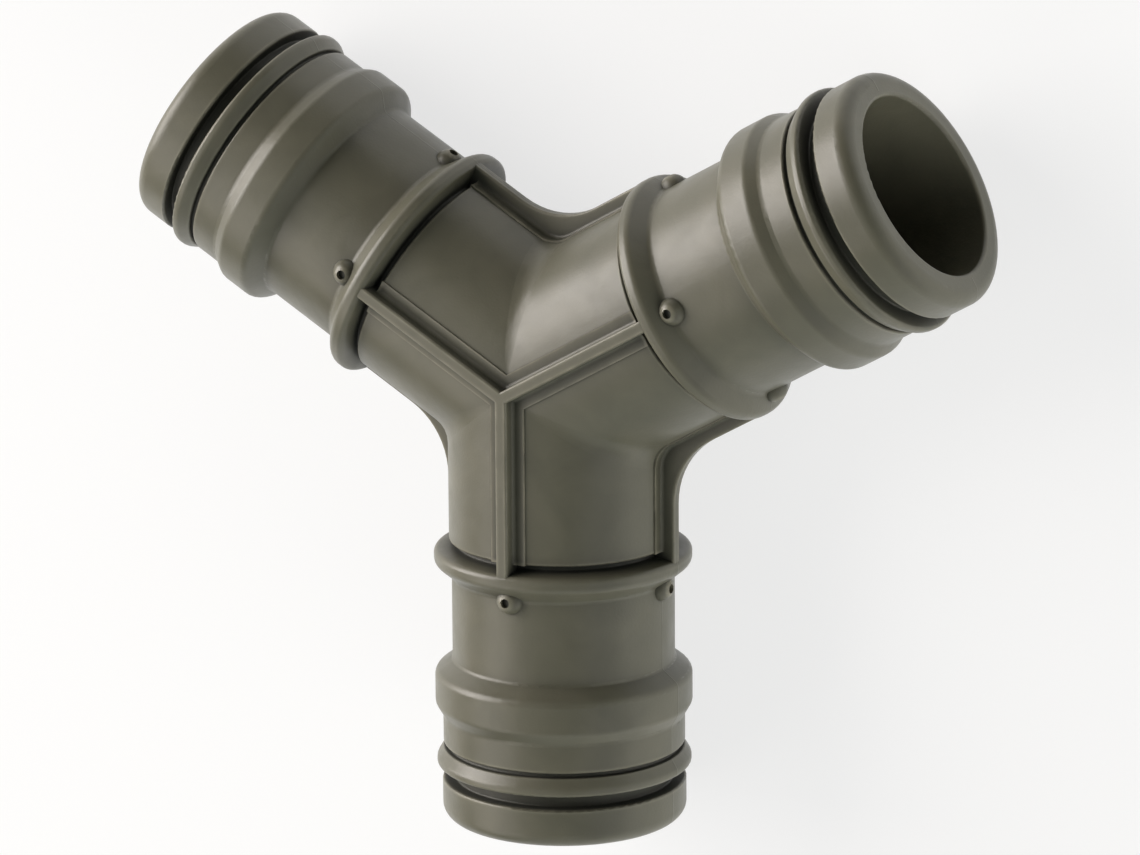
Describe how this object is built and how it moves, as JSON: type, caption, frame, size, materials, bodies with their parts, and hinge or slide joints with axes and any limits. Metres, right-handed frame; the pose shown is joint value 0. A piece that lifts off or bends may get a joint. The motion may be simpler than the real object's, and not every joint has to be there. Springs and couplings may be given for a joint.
{
  "type": "tubing y connector",
  "caption": "One-piece moulded plastic Y connector with equal barbed hose arms at 120 degrees, ribbed hub and stop collars.",
  "frame": {"origin": "crossing of the three bore axes, midway through the thickness", "axes": "the three axes lie in the XY plane; the stem arm points along -Y, the right arm at +30 degrees and the left arm at 150 degrees from +X; +Z is the front and up as the connector lies flat"},
  "size_m": [0.1546, 0.1345, 0.044],
  "materials": {
    "moulded_plastic": "dark olive grey injection-moulded plastic, fine satin texture"
  },
  "bodies": {
    "root": {"y_connector": "moulded_plastic"}
  },
  "joints": []
}
